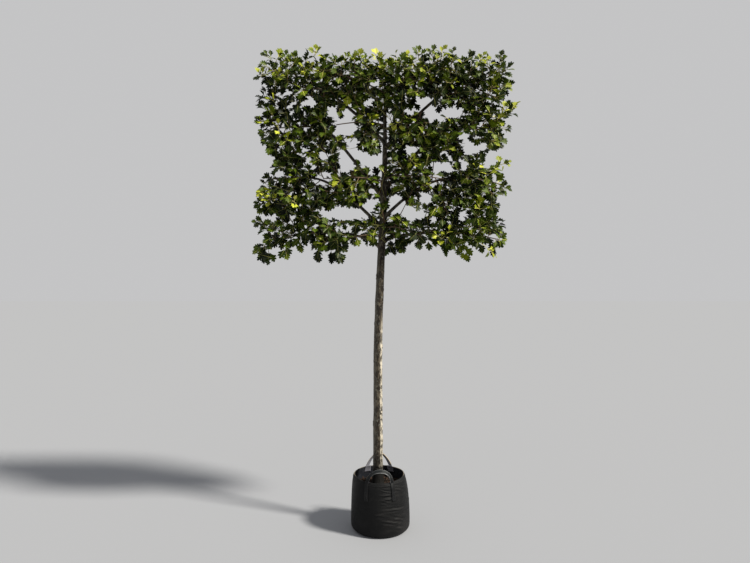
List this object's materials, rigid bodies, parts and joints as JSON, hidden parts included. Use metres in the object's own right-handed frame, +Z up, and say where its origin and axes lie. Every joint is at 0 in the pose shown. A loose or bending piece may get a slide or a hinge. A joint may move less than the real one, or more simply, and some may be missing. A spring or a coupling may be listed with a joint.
{
  "type": "potted pleached tree",
  "caption": "Pleached standard tree: a flat, clipped panel of lobed leaves on a clear stem, planted in a soft fabric grow bag with webbing carrying handles.",
  "frame": {"origin": "on the ground, under the middle of the grow bag's flat underside", "axes": "+Z up along the stem, X across the leafy panel, -Y to the panel's front"},
  "size_m": [1.599, 0.3854, 2.9159],
  "materials": {
    "bag": "matte woven",
    "webbing": "satin woven",
    "soil": "crumbly matte",
    "bark": "mottled matte",
    "foliage": "satin"
  },
  "bodies": {
    "root": {"grow_bag": "bag", "potting_soil": "soil", "handle_front": "webbing", "handle_back": "webbing", "trunk": "bark", "bough_left_low": "bark", "bough_right_low": "bark", "bough_left_lower_mid": "bark", "bough_right_lower_mid": "bark", "bough_left_upper_mid": "bark", "bough_right_upper_mid": "bark", "bough_left_top": "bark", "bough_right_top": "bark", "foliage_left_low_inner": "foliage", "foliage_left_low_outer": "foliage", "foliage_right_low_inner": "foliage", "foliage_right_low_outer": "foliage", "foliage_left_lower_mid_inner": "foliage", "foliage_left_lower_mid_outer": "foliage", "foliage_right_lower_mid_inner": "foliage", "foliage_right_lower_mid_outer": "foliage", "foliage_left_upper_mid_inner": "foliage", "foliage_left_upper_mid_outer": "foliage", "foliage_right_upper_mid_inner": "foliage", "foliage_right_upper_mid_outer": "foliage", "foliage_left_top_inner": "foliage", "foliage_left_top_outer": "foliage", "foliage_right_top_inner": "foliage", "foliage_right_top_outer": "foliage"}
  },
  "joints": []
}
